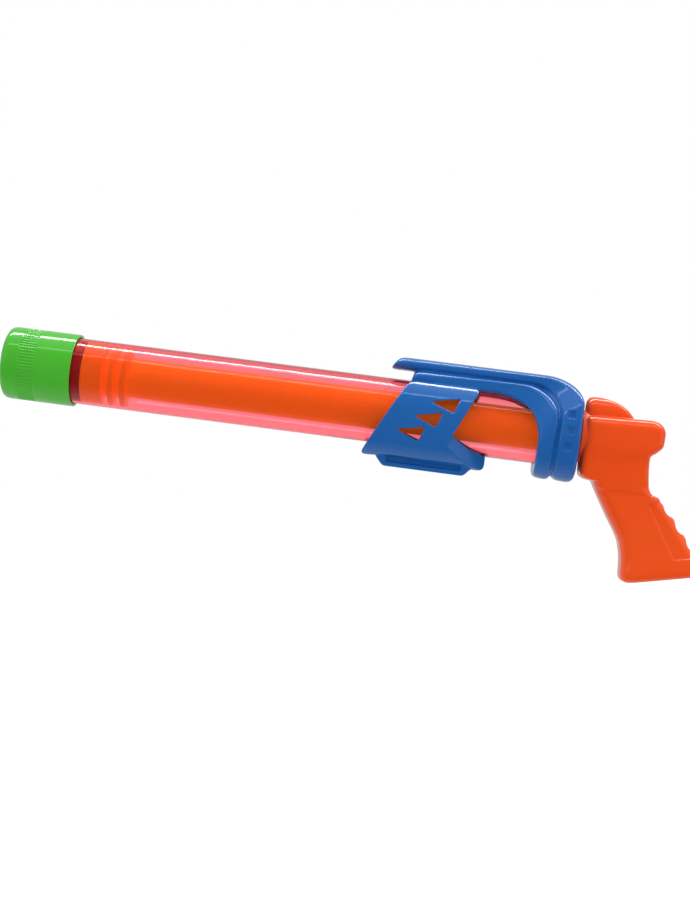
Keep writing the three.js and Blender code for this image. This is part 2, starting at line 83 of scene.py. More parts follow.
def draw(points):
    """Draws a closed line from the mesh's one vertex, extruding it from point to point."""
    bpy.ops.transform.translate(value=points[0])
    for near, far in zip(points, points[1:] + points[:1]):
        bpy.ops.mesh.extrude_vertices_move(TRANSFORM_OT_translate={"value": far - near})
    bpy.ops.mesh.select_all(action="SELECT")
    bpy.ops.mesh.remove_doubles(threshold=1e-7)


def settle(piece, smooth=30):
    """Leaves edit mode with a closed mesh that faces out and is smooth except at its sharp edges."""
    bpy.ops.mesh.select_all(action="SELECT")
    bpy.ops.mesh.remove_doubles(threshold=1e-7)
    bpy.ops.mesh.normals_make_consistent(inside=False)
    bpy.ops.object.mode_set(mode="OBJECT")
    bpy.ops.object.shade_smooth_by_angle(angle=math.radians(smooth))
    return piece


def eased(points, radius, parts=4):
    """An outline with its corners rounded, each by the radius given or by its own third value."""
    made = []
    for i, (a, b, *own) in enumerate(points):
        corner = Vector((a, b))
        before = Vector(points[i - 1][:2]) - corner
        after = Vector(points[(i + 1) % len(points)][:2]) - corner
        reach = min([*own, radius][0], before.length / 2.1, after.length / 2.1)
        if reach == 0:
            made.append(corner)
            continue
        enter = corner + before.normalized() * reach
        leave = corner + after.normalized() * reach
        for step in range(parts + 1):
            t = step / parts
            made.append(enter * (1 - t) ** 2 + corner * (2 * t * (1 - t)) + leave * t ** 2)
    return made


def turned(name, profile, steps=128):
    """Spins a closed profile of (millimetres behind the nose, radius) about the barrel's axis."""
    piece = start_mesh(name)
    draw([Vector((nose_x + x * MM, 0, axis_z + r * MM)) for x, r in profile])
    bpy.ops.mesh.spin(steps=steps, angle=2 * math.pi, center=(0, 0, axis_z), axis=(1, 0, 0))
    return settle(piece)


class Wire:
    """One value in a material's shader. Sums and products of wires add their Math nodes."""

    def __init__(self, tree, socket):
        self.tree, self.socket = tree, socket

    def node(self, kind, settings, inputs, output=0):
        made = self.tree.nodes.new(kind)
        for name, value in settings.items():
            if name == "stops":
                for stop, (place, colour) in zip(made.color_ramp.elements, value):
                    stop.position, stop.color = place, colour
            else:
                setattr(made, name, value)
        for name, value in inputs.items():
            if isinstance(value, Wire):
                self.tree.links.new(value.socket, made.inputs[name])
            else:
                made.inputs[name].default_value = value
        return Wire(self.tree, made.outputs[output])

    def maths(self, operation, first, second):
        return self.node("ShaderNodeMath", {"operation": operation}, {0: first, 1: second})

    def __add__(self, other):
        return self.maths("ADD", self, other)

    def __mul__(self, other):
        return self.maths("MULTIPLY", self, other)

    def __sub__(self, other):
        return self.maths("SUBTRACT", self, other)

    def __rsub__(self, other):
        return self.maths("SUBTRACT", other, self)

    __radd__, __rmul__ = __add__, __mul__

    def drive(self, shader, name):
        self.tree.links.new(self.socket, shader.inputs[name])


def new_finish(name):
    """A new material, its surface shader and a wire that carries object coordinates."""
    material = bpy.data.materials.new(name)
    material.use_nodes = True
    tree = material.node_tree
    place = Wire(tree, None).node("ShaderNodeTexCoord", {}, {}, "Object")
    return material, tree.nodes["Principled BSDF"], place


def dress(piece, material):
    """Gives a piece its finish, as its one material."""
    piece.data.materials.clear()
    piece.data.materials.append(material)
    return piece


barrel = turned("barrel", eased([
    (TUBE_FRONT, TUBE_OUTER), (TUBE_REAR, TUBE_OUTER),
    (TUBE_REAR, TUBE_INNER), (TUBE_FRONT, TUBE_INNER),
], TUBE_RIM), steps=160)
clear_pink, shader, place = new_finish("clear_pink_plastic")
shader.inputs["Base Color"].default_value = (1, 0.97, 0.975, 1)
shader.inputs["Transmission Weight"].default_value = 1
shader.inputs["IOR"].default_value = 1.4
stretched = place.node("ShaderNodeMapping", {}, {"Vector": place, "Scale": (3, 40, 40)})
draw_lines = place.node("ShaderNodeTexNoise", {}, {"Vector": stretched, "Scale": 2.0, "Detail": 2.0})
smears = place.node("ShaderNodeTexNoise", {}, {"Vector": place, "Scale": 60.0, "Detail": 4.0})
(0.03 + smears * 0.04).drive(shader, "Roughness")
ripple = {"Strength": 0.3, "Distance": 0.0006, "Height": draw_lines}
place.node("ShaderNodeBump", {}, ripple).drive(shader, "Normal")
tint = place.node("ShaderNodeVolumeAbsorption", {}, {"Color": PINK_TINT, "Density": PINK_DENSITY})
tint.drive(clear_pink.node_tree.nodes["Material Output"], "Volume")
dress(barrel, clear_pink)
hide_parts("barrel_tube")
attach(barrel, "barrel")

# Nozzle cap: one green moulding with a skirt over the tube, a spigot inside it and the nozzle hole.
# A sunk band of fine half-round ribs gives wet fingers a hold to screw it on and off.
CAP_RADIUS, CAP_BORE, CAP_LENGTH, CAP_WALL = 26.4, 24.3, 52.0, 6.0
SPIGOT_OUTER, SPIGOT_INNER, SPIGOT_END = 21.9, 19.5, 58.4
NOZZLE_RADIUS, NOSE_ROUND = 3.25, 5.5
RIB_START, RIB_END, RIB_SINK = 12.6, 25.3, 0.45
RIB_COUNT, RIB_RADIUS, RIB_END_GAP, RIB_UNDER = 72, 1.0, 0.25, 0.06


def moulded(name, colour, deep, gloss, orange_peel, matt_before=None):
    """Glossy moulded plastic: a faint flow in its colour, fine orange peel and uneven gloss.
    Ahead of matt_before, an x in metres, it is matt."""
    material, shader, place = new_finish(name)
    swirl = {"Vector": place, "Scale": 14.0, "Detail": 3.0, "Distortion": 1.2}
    flow = place.node("ShaderNodeTexNoise", {}, swirl)
    rubs = place.node("ShaderNodeTexNoise", {}, {"Vector": place, "Scale": 90.0, "Detail": 5.0})
    peel = place.node("ShaderNodeTexNoise", {}, {"Vector": place, "Scale": 420.0, "Detail": 2.0})
    ramp = {"stops": [(0.35, (*deep, 1)), (0.65, (*colour, 1))]}
    flow.node("ShaderNodeValToRGB", ramp, {"Fac": flow}).drive(shader, "Base Color")
    roughness = gloss - 0.03 + rubs * 0.06
    if matt_before is not None:
        ahead = matt_before - place.node("ShaderNodeSeparateXYZ", {}, {"Vector": place}, "X")
        roughness = roughness + place.node("ShaderNodeClamp", {}, {"Value": ahead * 2500}) * 0.6
    roughness.drive(shader, "Roughness")
    bump = {"Strength": orange_peel, "Distance": 0.0002, "Height": peel}
    place.node("ShaderNodeBump", {}, bump).drive(shader, "Normal")
    shader.inputs["IOR"].default_value = 1.5
    return material


def combine(body, tool, operation="DIFFERENCE"):
    """Joins, cuts or trims a solid by another with a Boolean modifier, and clears the other away."""
    bpy.ops.object.select_all(action="DESELECT")
    bpy.context.view_layer.objects.active = body
    body.select_set(True)
    bpy.ops.object.modifier_add(type="BOOLEAN")
    modifier = body.modifiers[-1]
    modifier.operation, modifier.object, modifier.solver = operation, tool, "EXACT"
    bpy.ops.object.modifier_apply(modifier=modifier.name)
    bpy.data.objects.remove(tool)
    return body


cap = turned("cap", eased([
    (0, NOZZLE_RADIUS, 0.9), (0, CAP_RADIUS, NOSE_ROUND), (RIB_START, CAP_RADIUS),
    (RIB_START + 0.6, CAP_RADIUS - RIB_SINK), (RIB_END - 0.6, CAP_RADIUS - RIB_SINK),
    (RIB_END, CAP_RADIUS),
    (CAP_LENGTH, CAP_RADIUS), (CAP_LENGTH, CAP_BORE), (CAP_WALL, CAP_BORE), (CAP_WALL, SPIGOT_OUTER),
    (SPIGOT_END, SPIGOT_OUTER), (SPIGOT_END, SPIGOT_INNER), (CAP_WALL, SPIGOT_INNER),
    (CAP_WALL, NOZZLE_RADIUS),
], 0.7), steps=144)
rib_middle = nose_x + (RIB_START + RIB_END) / 2 * MM
rib_height = axis_z + (CAP_RADIUS - RIB_RADIUS - RIB_UNDER) * MM
ribs = start_mesh("ribs")
bpy.ops.mesh.delete(type="VERT")
bpy.ops.mesh.primitive_cylinder_add(
    vertices=10, radius=RIB_RADIUS * MM, depth=(RIB_END - RIB_START - 2 * RIB_END_GAP) * MM,
    location=(rib_middle, 0, rib_height), rotation=(0, math.pi / 2, 0))
bpy.ops.mesh.bevel(offset=0.15 * MM, segments=1)
bpy.ops.mesh.spin(
    steps=RIB_COUNT - 1, dupli=True, angle=2 * math.pi * (1 - 1 / RIB_COUNT),
    center=(0, 0, axis_z), axis=(1, 0, 0))
combine(cap, settle(ribs), "UNION")
bpy.ops.object.shade_smooth_by_angle(angle=math.radians(30))
green = moulded("green_plastic", (0.078, 0.53, 0.034), (0.066, 0.49, 0.028), 0.11, 0.1)
dress(cap, green)
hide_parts("nozzle_cap")
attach(cap, "cap")

# Cap gasket and seal: dark red moulded rubber. The flat gasket is pinched between the cap and the
# tube's end, out of sight, so its solid stays. The seal is a thin sleeve stretched over the end of
# the spigot, and shows through the tube.
SEAL_FRONT, SEAL_REAR, SEAL_OUTER, SEAL_INNER = 44.0, 58.3, 22.05, 21.6
rubber, shader, place = new_finish("red_rubber")
grain = place.node("ShaderNodeTexNoise", {}, {"Vector": place, "Scale": 700.0, "Detail": 4.0})
dusty = {"stops": [(0.3, (0.42, 0.006, 0.008, 1)), (0.8, (0.5, 0.012, 0.012, 1))]}
grain.node("ShaderNodeValToRGB", dusty, {"Fac": grain}).drive(shader, "Base Color")
(0.6 + grain * 0.2).drive(shader, "Roughness")
pitted = {"Strength": 0.3, "Distance": 0.0002, "Height": grain}
place.node("ShaderNodeBump", {}, pitted).drive(shader, "Normal")
shader.inputs["Specular IOR Level"].default_value = 0.12
dress(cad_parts["cap_gasket"], rubber)
seal = turned("spigot_seal", eased([
    (SEAL_FRONT, SEAL_OUTER), (SEAL_REAR, SEAL_OUTER),
    (SEAL_REAR, SEAL_INNER), (SEAL_FRONT, SEAL_INNER),
], 0.15))
dress(seal, rubber)
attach(seal, "cap")

# Piston: a full-bore head with two tapered wiper rings and a stub behind them, moulded in one piece.
# It is the same bright amber plastic as the plunger, which slips over the stub. The amber's faint
# emission is a painted glow, not a lamp.
PISTON_FRONT, PISTON_RADIUS, PISTON_CORE = 58.7, 21.9, 16.0
HEAD_REAR, PISTON_REAR, STUB_REAR = 73.6, 92.1, 112.1
WIPER_STARTS, WIPER_WIDTH, WIPER_TAPER = (78.1, 87.0), 5.1, 1.0
STUB_OUTER, STUB_INNER = 12.6, 10.4
wipers = []
for start in WIPER_STARTS:
    wipers += [
        (start, PISTON_CORE), (start + WIPER_TAPER, PISTON_RADIUS),
        (start + WIPER_WIDTH - WIPER_TAPER, PISTON_RADIUS), (start + WIPER_WIDTH, PISTON_CORE),
    ]
piston = turned("piston", eased([
    (PISTON_FRONT, 0, 0), (PISTON_FRONT, PISTON_RADIUS, 1.2),
    (HEAD_REAR, PISTON_RADIUS), (HEAD_REAR + WIPER_TAPER, PISTON_CORE),
    *wipers, (PISTON_REAR, STUB_OUTER), (STUB_REAR, STUB_OUTER), (STUB_REAR, STUB_INNER),
    (HEAD_REAR, STUB_INNER), (HEAD_REAR, 0, 0),
], 0.5))
amber = moulded("amber_plastic", (0.98, 0.37, 0.005), (0.97, 0.33, 0.004), 0.25, 0.1)
# The amber gives off a faint light of its own: a painted glow that brightens the piston and plunger
# where they sit in the tube's shade.
amber_shader_with_painted_glow = amber.node_tree.nodes["Principled BSDF"]
amber_shader_with_painted_glow.inputs["Emission Color"].default_value = (0.98, 0.34, 0.003, 1)
amber_shader_with_painted_glow.inputs["Emission Strength"].default_value = 0.25
amber_shader_with_painted_glow.inputs["Specular IOR Level"].default_value = 0.12
dress(piston, amber)
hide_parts("piston_head")
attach(piston, "piston")

# Plunger: a long amber tube, extruded and cut square, that slips over the piston's stub.
# It runs in the bush and ends in the pocket of the handle, where the cross pin holds it.
PLUNGER_FRONT, PLUNGER_REAR, PLUNGER_OUTER, PLUNGER_INNER = 92.4, 457.2, 14.5, 12.9
plunger = turned("plunger", eased([
    (PLUNGER_FRONT, PLUNGER_OUTER), (PLUNGER_REAR, PLUNGER_OUTER),
    (PLUNGER_REAR, PLUNGER_INNER), (PLUNGER_FRONT, PLUNGER_INNER),
], 0.4), steps=96)
# The plunger takes the same amber, with its painted glow.
dress(plunger, amber)
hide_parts("plunger_tube")
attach(plunger, "plunger")

# Guide bush and cross pin: a natural white bush, pressed into the tube's rear end, guides the plunger,
# and a plated steel pin through the plunger holds it to the handle.
# Both are out of sight inside other pieces, so their solids stay and take finishes of their own.
white = moulded("natural_plastic", (0.76, 0.75, 0.7), (0.7, 0.69, 0.63), 0.42, 0.15)
dress(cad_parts["guide_bush"], white)
steel, shader, place = new_finish("zinc_steel")
shader.inputs["Metallic"].default_value = 1
brushed = place.node("ShaderNodeMapping", {}, {"Vector": place, "Scale": (900, 60, 900)})
strokes = place.node("ShaderNodeTexNoise", {}, {"Vector": brushed, "Scale": 1.0, "Detail": 3.0})
plated = {"stops": [(0.3, (0.42, 0.43, 0.45, 1)), (0.7, (0.62, 0.62, 0.6, 1))]}
strokes.node("ShaderNodeValToRGB", plated, {"Fac": strokes}).drive(shader, "Base Color")
(0.22 + strokes * 0.2).drive(shader, "Roughness")
dress(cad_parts["cross_pin"], steel)

# Guard: a blue moulding in two shells that are screwed together round the barrel. Two bands, one over
# the other, run along the top as a rail and turn down into the two ribs of a collar. A web joins the
# ribs inside, so that only a narrow groove shows between them.
COLLAR_REAR = 420.0
COLLAR_HALF, COLLAR_TOP, COLLAR_BOTTOM = 29.0, 40.2, 34.7
GUARD_BORE, BORE_FRONT, COLLAR_LIP = 24.3, -175, 5.6
COLLAR_EXIT, EXIT_REACH = 15.5, 20
PARTING = 0.15


def side_point(x, z, y=0.0, origin=COLLAR_REAR):
    """A place in the side view, in millimetres behind an origin along the barrel and above its axis."""
    return Vector((nose_x + (origin + x) * MM, y * MM, axis_z + z * MM))


def section(start, end, half, corner, spread):
    """Adds a soft-cornered cross-section between two points of the side view to the edited mesh."""
    line = end - start
    middle = (start + end) / 2
    length, width = line.length, 2 * half * MM
    along, across = min(corner * MM, 0.47 * length), min(spread * MM, 0.47 * width)
    bpy.ops.mesh.select_all(action="DESELECT")
    bpy.ops.mesh.primitive_plane_add(size=1, location=(0, 0, 0))
    bpy.ops.transform.resize(value=(length * across / along, width, 1), center_override=(0, 0, 0))
    bpy.ops.mesh.bevel(affect="VERTICES", offset=across, segments=8)
    bpy.ops.transform.resize(value=(along / across, 1, 1), center_override=(0, 0, 0))
    bpy.ops.transform.rotate(
        value=math.atan2(line.z, line.x), orient_axis="Y", center_override=(0, 0, 0))
    bpy.ops.transform.translate(value=middle)


def lofted(name, stations, origin):
    """A closed body through stations of (front point, rear point, half width, corner, spread)."""
    piece = start_mesh(name)
    bpy.ops.mesh.delete(type="VERT")
    for front, rear, half, corner, spread in stations:
        start, end = [side_point(x, z, origin=origin) for x, z in (front, rear)]
        section(start, end, half, corner, spread)
    bpy.ops.mesh.select_all(action="SELECT")
    bpy.ops.mesh.delete(type="ONLY_FACE")
    bpy.ops.mesh.select_all(action="SELECT")
    bpy.ops.mesh.bridge_edge_loops(type="SINGLE")
    bpy.ops.mesh.select_all(action="DESELECT")
    bpy.ops.mesh.select_non_manifold(extend=False)
    bpy.ops.mesh.fill_holes(sides=0)
    return settle(piece)


def collar_width(z):
    """Half width of the collar at a height: round above the barrel's axis, fuller below it."""
    depth, fullness = (COLLAR_TOP, 2.0) if z > 0 else (COLLAR_BOTTOM, 2.5)
    share = min(abs(z) / depth, 0.992)
    return COLLAR_HALF * (1 - share ** fullness) ** (1 / fullness)


def band_line(rail_x, rail_z, rib_x, corner_x, corner_z, end_z):
    """The side line of a band's edge: along the rail, round a corner and down the collar."""
    line = [(rail_x + (rib_x - corner_x - rail_x) * t, rail_z) for t in RAIL_SHARES]
    for step in range(1, CORNER_STEPS + 1):
        angle = step / CORNER_STEPS * math.pi / 2
        along, down = 1 - math.sin(angle), 1 - math.cos(angle)
        line.append((rib_x - corner_x * along, rail_z - corner_z * down))
    top_z = rail_z - corner_z
    return line + [(rib_x, top_z + (end_z - top_z) * t) for t in RIB_SHARES]


def band(name, inner, outer, rail_half, inset=0.0):
    """A band between two lines: a domed rail that widens round its corner into a rib, less an inset."""
    stations = []
    first, last = len(RAIL_SHARES) - 1, len(inner) - 1
    for i, (start, end) in enumerate(zip(inner, outer)):
        turn = min(max((i - first + 1) / (CORNER_STEPS + 1), 0), 1)
        turn = turn * turn * (3 - 2 * turn)
        half = rail_half + (collar_width((start[1] + end[1]) / 2) - rail_half) * turn
        nose = TIP_SCALES[i] if i < len(TIP_SCALES) else 1
        toe = FOOT_SCALES[last - i] if last - i < len(FOOT_SCALES) else 1
        start, end = Vector(start), Vector(end)
        middle, reach = (start + end) / 2, (end - start) / 2 * nose * toe
        corner = RAIL_DOME[0] + (RIB_DOME[0] - RAIL_DOME[0]) * turn
        spread = RAIL_DOME[1] + (RIB_DOME[1] - RAIL_DOME[1]) * turn
        stations.append((middle - reach, middle + reach, (half - inset) * nose, corner, spread))
    return lofted(name, stations, COLLAR_REAR)


RAIL_SHARES = (0, 0.008, 0.022, 0.045, 0.075, 0.3, 0.55, 0.8, 1)
CORNER_STEPS = 22
RIB_SHARES = (
    0.07, 0.14, 0.21, 0.28, 0.36, 0.44, 0.52, 0.6, 0.68, 0.76, 0.83, 0.89, 0.94, 0.97, 0.99, 1)
TIP_SCALES = (0.7, 0.86, 0.95, 0.99)
FOOT_SCALES = (0.45, 0.66, 0.82, 0.93, 0.98)
RAIL_DOME, RIB_DOME = (5.2, 10.8), (3.8, 3.8)
UPPER_HALF, LOWER_HALF, WEB_HALF, GROOVE_DEPTH = 11.5, 15.5, 11.0, 3.4
outer_line = band_line(rail_x=-133.5, rail_z=40.2, rib_x=0, corner_x=28, corner_z=20, end_z=-34.7)
over_line = band_line(
    rail_x=-140.5, rail_z=30.7, rib_x=-15.95, corner_x=23.6, corner_z=23.6, end_z=-33.9)
under_line = band_line(
    rail_x=-122.0, rail_z=31.9, rib_x=-17.15, corner_x=24.4, corner_z=24.4, end_z=-34.7)
inner_line = band_line(rail_x=-125.0, rail_z=21.0, rib_x=-29.5, corner_x=38, corner_z=30, end_z=-33.7)
web_outer = band_line(rail_x=-118.0, rail_z=36.0, rib_x=-11.5, corner_x=24, corner_z=24, end_z=-31.5)
web_inner = band_line(rail_x=-118.0, rail_z=27.0, rib_x=-20.5, corner_x=28, corner_z=28, end_z=-31.5)
guard = band("guard", over_line, outer_line, UPPER_HALF)
lower_band = band("lower_band", inner_line, under_line, LOWER_HALF)
web = band("web", web_inner, web_outer, WEB_HALF, GROOVE_DEPTH)


def plate(name, outline, half, origin=COLLAR_REAR):
    """A side outline, in millimetres, filled and extruded evenly to both sides."""
    piece = start_mesh(name)
    draw([side_point(x, z, -half, origin) for x, z in outline])
    bpy.ops.mesh.edge_face_add()
    bpy.ops.mesh.extrude_region_move(TRANSFORM_OT_translate={"value": (0, 2 * half * MM, 0)})
    return settle(piece)


def bar_across(name, x, z, radius, low, high, origin=COLLAR_REAR):
    """A round bar across the moulding, from one y to another in millimetres."""
    bpy.ops.object.select_all(action="DESELECT")
    bpy.ops.mesh.primitive_cylinder_add(
        vertices=48, radius=radius * MM, depth=(high - low) * MM,
        location=side_point(x, z, (low + high) / 2, origin), rotation=(math.pi / 2, 0, 0))
    bpy.context.object.name = name
    return bpy.context.object


def block(name, low, high):
    """A box between two corners in millimetres, (x, y, z)."""
    bpy.ops.object.select_all(action="DESELECT")
    middle = [(a + b) / 2 for a, b in zip(low, high)]
    bpy.ops.mesh.primitive_cube_add(size=1, location=side_point(middle[0], middle[2], middle[1]))
    bpy.context.object.name = name
    bpy.ops.transform.resize(value=[(b - a) * MM for a, b in zip(low, high)])
    bpy.ops.object.transform_apply(location=False, rotation=False, scale=True)
    return bpy.context.object


# Guard's sleeve and keel: parts of the same blue moulding. The sleeve wraps the barrel, with leaning
# ends and a stern that narrows below. A keel with a long recess in each side stiffens it underneath,
# and three windows are cut through each side.
SLEEVE_HALF, SLEEVE_DEPTH, SLEEVE_TOP, SLEEVE_CORNER = 28.3, 35.0, 23.0, 4.5
SLEEVE_FRONT, SLEEVE_REAR = -125, -73.5
FRONT_LEAN, REAR_LEAN = math.tan(math.radians(27.5)), math.tan(math.radians(24.6))
WRAP_POINTS, WRAP_POWER, WRAP_START, WRAP_LENGTH = 120, 2 / 2.6, -165, 110
CUT_REACH = 40
STERN_TOP, STERN_END, STERN_SIDE = -11.4, -64.3, 21.46
STERN_ANGLE, STERN_TILT = math.radians(35), math.radians(10)


def front_at(z):
    """Where the sleeve's leaning front edge is at a height."""
    return SLEEVE_FRONT - (SLEEVE_TOP - z) * FRONT_LEAN


def rear_at(z):
    """Where the sleeve's leaning rear edge is at a height."""
    return SLEEVE_REAR - (SLEEVE_TOP - z) * REAR_LEAN


sleeve = plate("sleeve", eased([
    (front_at(SLEEVE_TOP), SLEEVE_TOP), (rear_at(SLEEVE_TOP), SLEEVE_TOP), (rear_at(-36), -36),
    (-110, -33.0), (-125, -31.5), (front_at(-33.5), -33.5),
], SLEEVE_CORNER), SLEEVE_HALF + 2)
stern = plate("stern", eased([
    (rear_at(STERN_TOP) - 1, STERN_TOP, 0), (STERN_END, STERN_TOP, 0),
    (STERN_END, -34.6, 5), (-112, -34.0, 0),
], 1), SLEEVE_HALF + 2)
for side in (-1, 1):
    turn = Matrix.Rotation(-side * STERN_ANGLE, 3, "Z") @ Matrix.Rotation(side * STERN_TILT, 3, "X")
    corner = side_point(rear_at(STERN_TOP), STERN_TOP, side * STERN_SIDE)
    bpy.ops.object.select_all(action="DESELECT")
    bpy.ops.mesh.primitive_cube_add(
        size=0.2, location=corner + turn @ Vector((0, side * 0.1, 0)), rotation=turn.to_euler())
    combine(stern, bpy.context.object)
combine(sleeve, stern, "UNION")
wrap = start_mesh("wrap")
wrap_line = []
for i in range(WRAP_POINTS):
    angle = 2 * math.pi * i / WRAP_POINTS
    depth, power = (SLEEVE_DEPTH, WRAP_POWER) if math.sin(angle) < 0 else (SLEEVE_HALF, 1)
    across = math.copysign(abs(math.cos(angle)) ** power, math.cos(angle))
    above = math.copysign(abs(math.sin(angle)) ** power, math.sin(angle))
    wrap_line.append(side_point(WRAP_START, depth * above, SLEEVE_HALF * across))
draw(wrap_line)
bpy.ops.mesh.edge_face_add()
bpy.ops.mesh.extrude_region_move(TRANSFORM_OT_translate={"value": (WRAP_LENGTH * MM, 0, 0)})
combine(sleeve, settle(wrap), "INTERSECT")

KEEL_HALF, KEEL_NECK = 13.0, 10.5
RECESS_FRONT, RECESS_REAR, RECESS_TOP, RECESS_BOTTOM = -135, -80.6, -32, -36.4
keel = plate("keel", eased([
    (-141, -26.3, 0), (-143, -33), (-137, -39.8), (-78.6, -39.8), (-72.6, -33), (-74.6, -26.3, 0),
], 2), KEEL_HALF)
for low, high in ((KEEL_NECK, CUT_REACH), (-CUT_REACH, -KEEL_NECK)):
    combine(keel, block("recess", (RECESS_FRONT, low, RECESS_BOTTOM), (RECESS_REAR, high, RECESS_TOP)))
for part in (lower_band, web, sleeve, keel):
    combine(guard, part, "UNION")

WINDOW_TIPS = ((-108.0, 9.7), (-119.2, -1.6), (-130.4, -12.9))
WINDOW_SHAPE, WINDOW_CORNER = ((0, 0), (20.7, 4.2), (16.8, -6.4)), 0.8
for x, z in WINDOW_TIPS:
    outline = eased([(x + along, z + above) for along, above in WINDOW_SHAPE], WINDOW_CORNER)
    combine(guard, plate("window", outline, CUT_REACH))
MARK_X, MARK_HEIGHTS, MARK_HALF, MARK_DEPTH = -8.25, (13.2, 1.6, -10.0), 2.7, 1.2
for z in MARK_HEIGHTS:
    floor_y = min(collar_width(z + MARK_HALF), collar_width(z - MARK_HALF)) - MARK_DEPTH
    for low, high in ((floor_y, CUT_REACH), (-CUT_REACH, -floor_y)):
        combine(guard, block("mark", (MARK_X - MARK_HALF, low, z - MARK_HALF),
                             (MARK_X + MARK_HALF, high, z + MARK_HALF)))
bores = ((GUARD_BORE, BORE_FRONT, -COLLAR_LIP), (COLLAR_EXIT, -EXIT_REACH, EXIT_REACH))
for radius, low, high in bores:
    bpy.ops.object.select_all(action="DESELECT")
    bpy.ops.mesh.primitive_cylinder_add(
        vertices=144, radius=radius * MM, depth=(high - low) * MM,
        location=side_point((low + high) / 2, 0), rotation=(0, math.pi / 2, 0))
    combine(guard, bpy.context.object)

GUARD_SCREWS = ((-119, 35.8), (-52, 35.8), (-8.25, -29.5), (-130, -29.65), (-90, -29.65))
SCREW_HEAD, SCREW_SEAT, SCREW_ROOM, SCREW_REACH = 2.7, 7.0, 0.3, 60
for x, z in GUARD_SCREWS:
    recess = bar_across(
        "recess", x, z, SCREW_HEAD + SCREW_ROOM, SCREW_SEAT - SCREW_ROOM, SCREW_REACH)
    combine(guard, recess)


def soften(body, voxel, rounds):
    """Gives a moulding a real one's small even rounding: a fine remesh, then some smoothing."""
    bpy.ops.object.select_all(action="DESELECT")
    bpy.context.view_layer.objects.active = body
    body.select_set(True)
    bpy.ops.object.modifier_add(type="REMESH")
    body.modifiers[-1].mode, body.modifiers[-1].voxel_size = "VOXEL", voxel * MM
    bpy.ops.object.modifier_apply(modifier=body.modifiers[-1].name)
    bpy.ops.object.modifier_add(type="SMOOTH")
    body.modifiers[-1].factor, body.modifiers[-1].iterations = 0.5, rounds
    bpy.ops.object.modifier_apply(modifier=body.modifiers[-1].name)
    bpy.ops.object.shade_smooth()


def shells(body, left_name, right_name):
    """Parts a moulding along the barrel's mid-plane into two closed shells with a hairline gap."""
    made = []
    for name, side in ((left_name, -1), (right_name, 1)):
        bpy.ops.object.select_all(action="DESELECT")
        bpy.context.view_layer.objects.active = body
        body.select_set(True)
        bpy.ops.object.duplicate()
        shell = bpy.context.object
        shell.name = shell.data.name = name
        bpy.ops.object.mode_set(mode="EDIT")
        bpy.ops.mesh.select_all(action="SELECT")
        bpy.ops.mesh.bisect(
            plane_co=(0, side * PARTING * MM, 0), plane_no=(0, side, 0),
            use_fill=True, clear_inner=True)
        made.append(settle(shell, smooth=50))
    bpy.data.objects.remove(body)
    return made


GUARD_VOXEL, SMOOTH_ROUNDS = 0.6, 4
soften(guard, GUARD_VOXEL, SMOOTH_ROUNDS)
blue = moulded("blue_plastic", (0.015, 0.138, 0.472), (0.0125, 0.124, 0.432), 0.11, 0.1)
guard_shells = shells(guard, "guard_shell_left", "guard_shell_right")
for shell, node in zip(guard_shells, ("guard_left", "guard_right")):
    dress(shell, blue)
    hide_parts(node)
    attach(shell, "barrel")

# Handle: an orange pistol grip, moulded in two shells and screwed together round the plunger's end.
# It has a hump, a low boss on its front, a tang, a flared base, and a sunk panel with finger hollows
# down its back. Each row holds a front x and z, a rear x and z, a half width and a corner.
HANDLE_FRONT = 423.2
PANEL_STEP, PANEL_CORNER, HANDLE_VOXEL = 1.6, 1, 0.5
HANDLE_ROWS = (
    (43.5, -100.4, 98.5, -88.0, 13.5, 8), (40.2, -99.0, 101.3, -85.6, 16.2, 8),
    (38.5, -95.5, 102.3, -82.6, 17.0, 9), (37.9, -86.0, 97.4, -79.0, 16.6, 9),
    (35.0, -72.7, 90.6, -72.7, 16.0, 9), (24.2, -54.7, 76.4, -54.7, 15.8, 9),
    (17.1, -43.2, 65.9, -43.2, 15.7, 9), (13.4, -36.8, 58.7, -37.2, 15.5, 9),
    (12.4, -35.0, 53.4, -35.4, 16.3, 8), (10.2, -31.0, 50.6, -31.0, 16.5, 7),
    (5.6, -30.4, 50.4, -30.4, 16.55, 6.5), (2.2, -29.0, 50.2, -29.0, 16.65, 6),
    (0.6, -26.5, 49.6, -26.5, 16.9, 5), (0.1, -16.0, 48.2, -14.0, 17.9, 4.5),
    (0, -10.5, 48.2, -9.6, 19.1, 5), (0, -6.0, 52.6, -5.6, 19.7, 6),
    (0, 0, 56.6, -0.4, 19.9, 6), (0, 5.6, 57.0, 7.6, 19.8, 6), (0, 9.2, 56.2, 11.2, 19.3, 6),
    (0.1, 12.0, 54.4, 14.0, 17.9, 6), (1.0, 14.0, 51.6, 16.0, 15.6, 5),
    (3.0, 15.0, 48.0, 17.0, 12.0, 4),
)


def slopes(values):
    """Slopes at evenly spaced values that keep a curve through them from overshooting."""
    steps = [b - a for a, b in zip(values, values[1:])]
    inner = [2 * a * b / (a + b) if a * b > 0 else 0.0 for a, b in zip(steps, steps[1:])]
    return [steps[0], *inner, steps[-1]]


def between(rows, parts):
    """The rows with smooth rows added between them."""
    columns = list(zip(*rows))
    leans = [slopes(column) for column in columns]
    made = []
    for i in range(len(rows) - 1):
        for step in range(parts):
            t = step / parts
            near, leave = 1 - 3 * t * t + 2 * t ** 3, t - 2 * t * t + t ** 3
            far, arrive = 3 * t * t - 2 * t ** 3, t ** 3 - t * t
            made.append([
                near * c[i] + leave * s[i] + far * c[i + 1] + arrive * s[i + 1]
                for c, s in zip(columns, leans)])
    return made + [list(rows[-1])]


def handle_form(name, inset):
    """The handle's main form, less an inset at its sides and back."""
    return lofted(name, [
        ((x1, z1), (x2 - inset, z2), half - inset, corner, corner)
        for x1, z1, x2, z2, half, corner in between(HANDLE_ROWS, 4)], HANDLE_FRONT)


